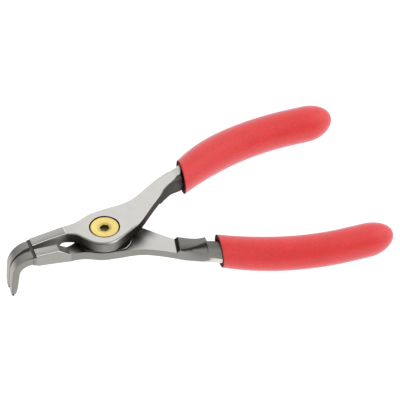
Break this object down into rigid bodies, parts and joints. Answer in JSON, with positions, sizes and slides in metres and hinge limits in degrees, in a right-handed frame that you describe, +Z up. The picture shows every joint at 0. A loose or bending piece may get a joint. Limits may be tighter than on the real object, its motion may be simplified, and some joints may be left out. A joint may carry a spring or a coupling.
{
  "type": "circlip pliers",
  "caption": "Outside circlip pliers with tips bent down at right angles, a lap joint on a flush socket screw, and red sleeves on curved handles.",
  "frame": {"origin": "on the pivot axis, in the plane of the ground top face, at the mouth of the key socket", "axes": "+X along the pliers from the pivot to the handles, +Z up out of the top face, tips pointing down to -Z"},
  "size_m": [0.1315, 0.0754, 0.0229],
  "materials": {
    "forged_steel": "ground satin faces, phosphated walls",
    "hard_wire": "blackened hard wire",
    "yellow_zinc": "yellow zinc plating on steel",
    "red_sleeve": "matt soft vinyl, slightly grained"
  },
  "bodies": {
    "lower_half": {"lower_lever": "forged_steel", "lower_tip_pin": "hard_wire", "lower_grip": "red_sleeve", "pivot_screw": "yellow_zinc", "spring_washer": "hard_wire", "pivot_nut": "yellow_zinc"},
    "upper_half": {"upper_lever": "forged_steel", "upper_tip_pin": "hard_wire", "upper_grip": "red_sleeve"}
  },
  "joints": [
    {"name": "pivot", "type": "hinge", "parent": "lower_half", "child": "upper_half", "pos_m": [0, 0, 0], "axis": [0, 0, -1], "range_deg": [0, 28]}
  ]
}
